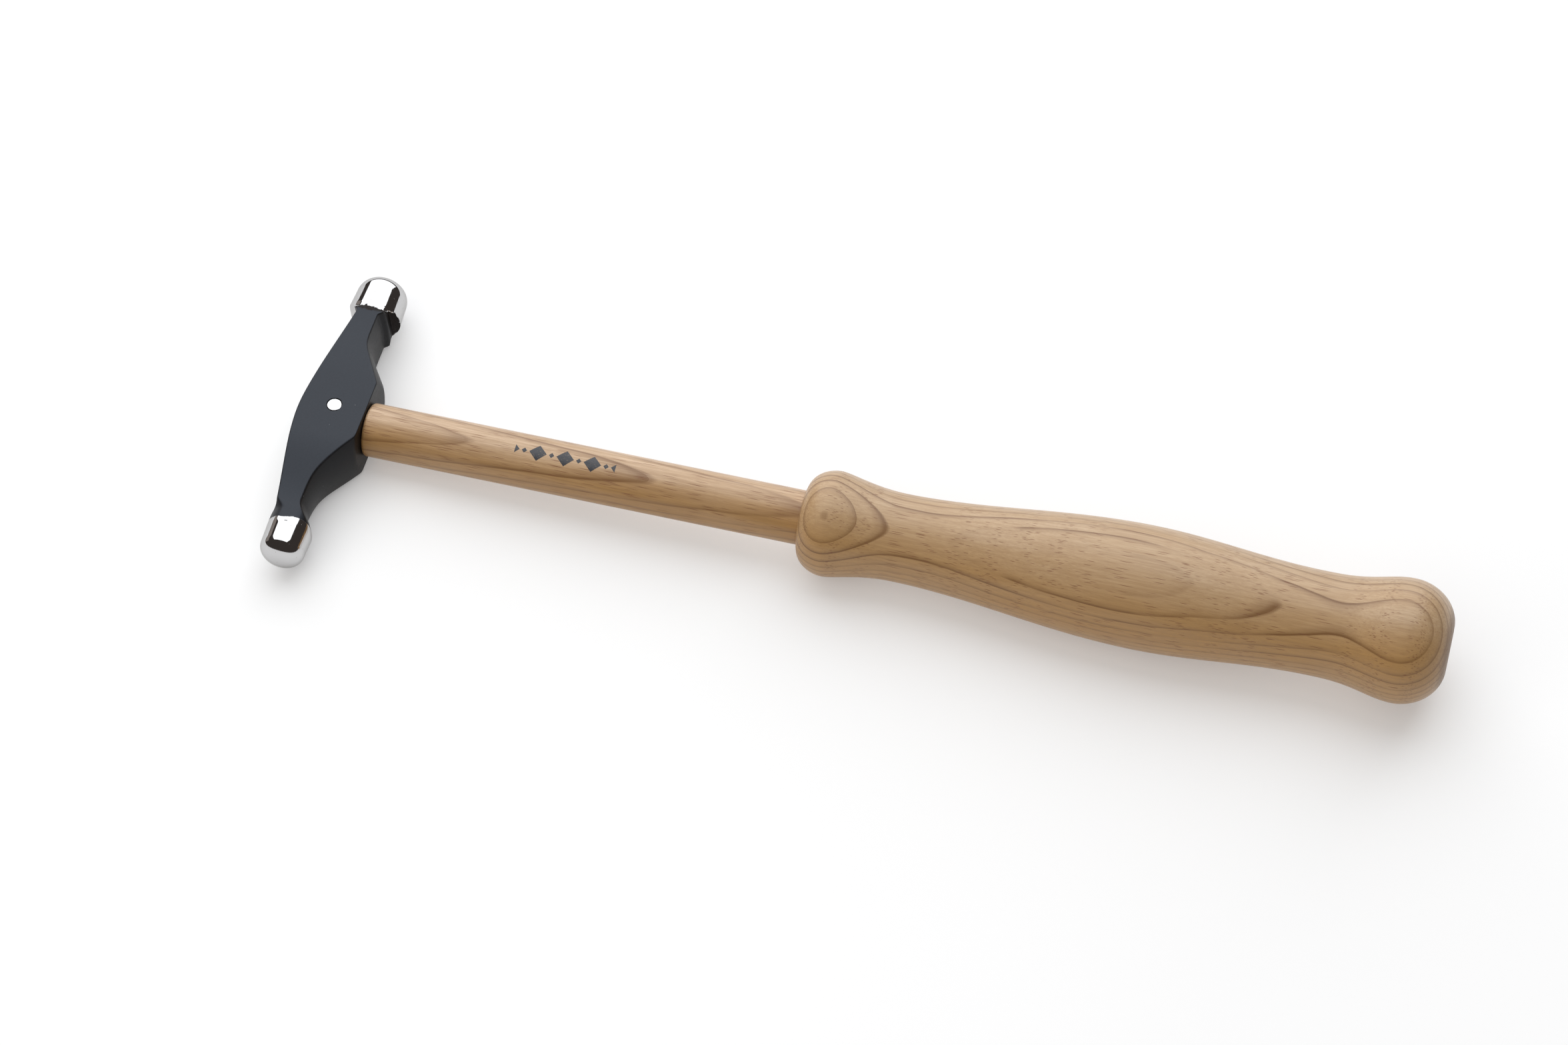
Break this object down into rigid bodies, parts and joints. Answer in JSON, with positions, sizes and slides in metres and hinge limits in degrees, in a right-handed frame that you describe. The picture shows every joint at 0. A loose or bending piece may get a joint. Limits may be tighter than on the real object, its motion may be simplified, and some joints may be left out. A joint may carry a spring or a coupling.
{
  "type": "double-domed jeweller's hammer",
  "caption": "Slim metalworking hammer with a domed face at each end of a dark steel head, cross-pinned to a round wooden shaft with a swelling turned grip.",
  "frame": {"origin": "centre of the flat disc on the butt, on the handle's axis", "axes": "+X along the handle from the head to the butt, +Y along the head towards the larger dome, +Z out of a cheek"},
  "size_m": [0.256, 0.0785, 0.027],
  "materials": {
    "dark_steel": "satin black coat, with both domes polished bright",
    "bright_pin": "ground flush",
    "shaft_wood": "satin lacquer over pale open-grained hardwood",
    "grip_wood": "satin lacquer over pale open-grained hardwood"
  },
  "bodies": {
    "root": {"head": "dark_steel", "cross_pin": "bright_pin", "shaft": "shaft_wood", "grip": "grip_wood"}
  },
  "joints": []
}
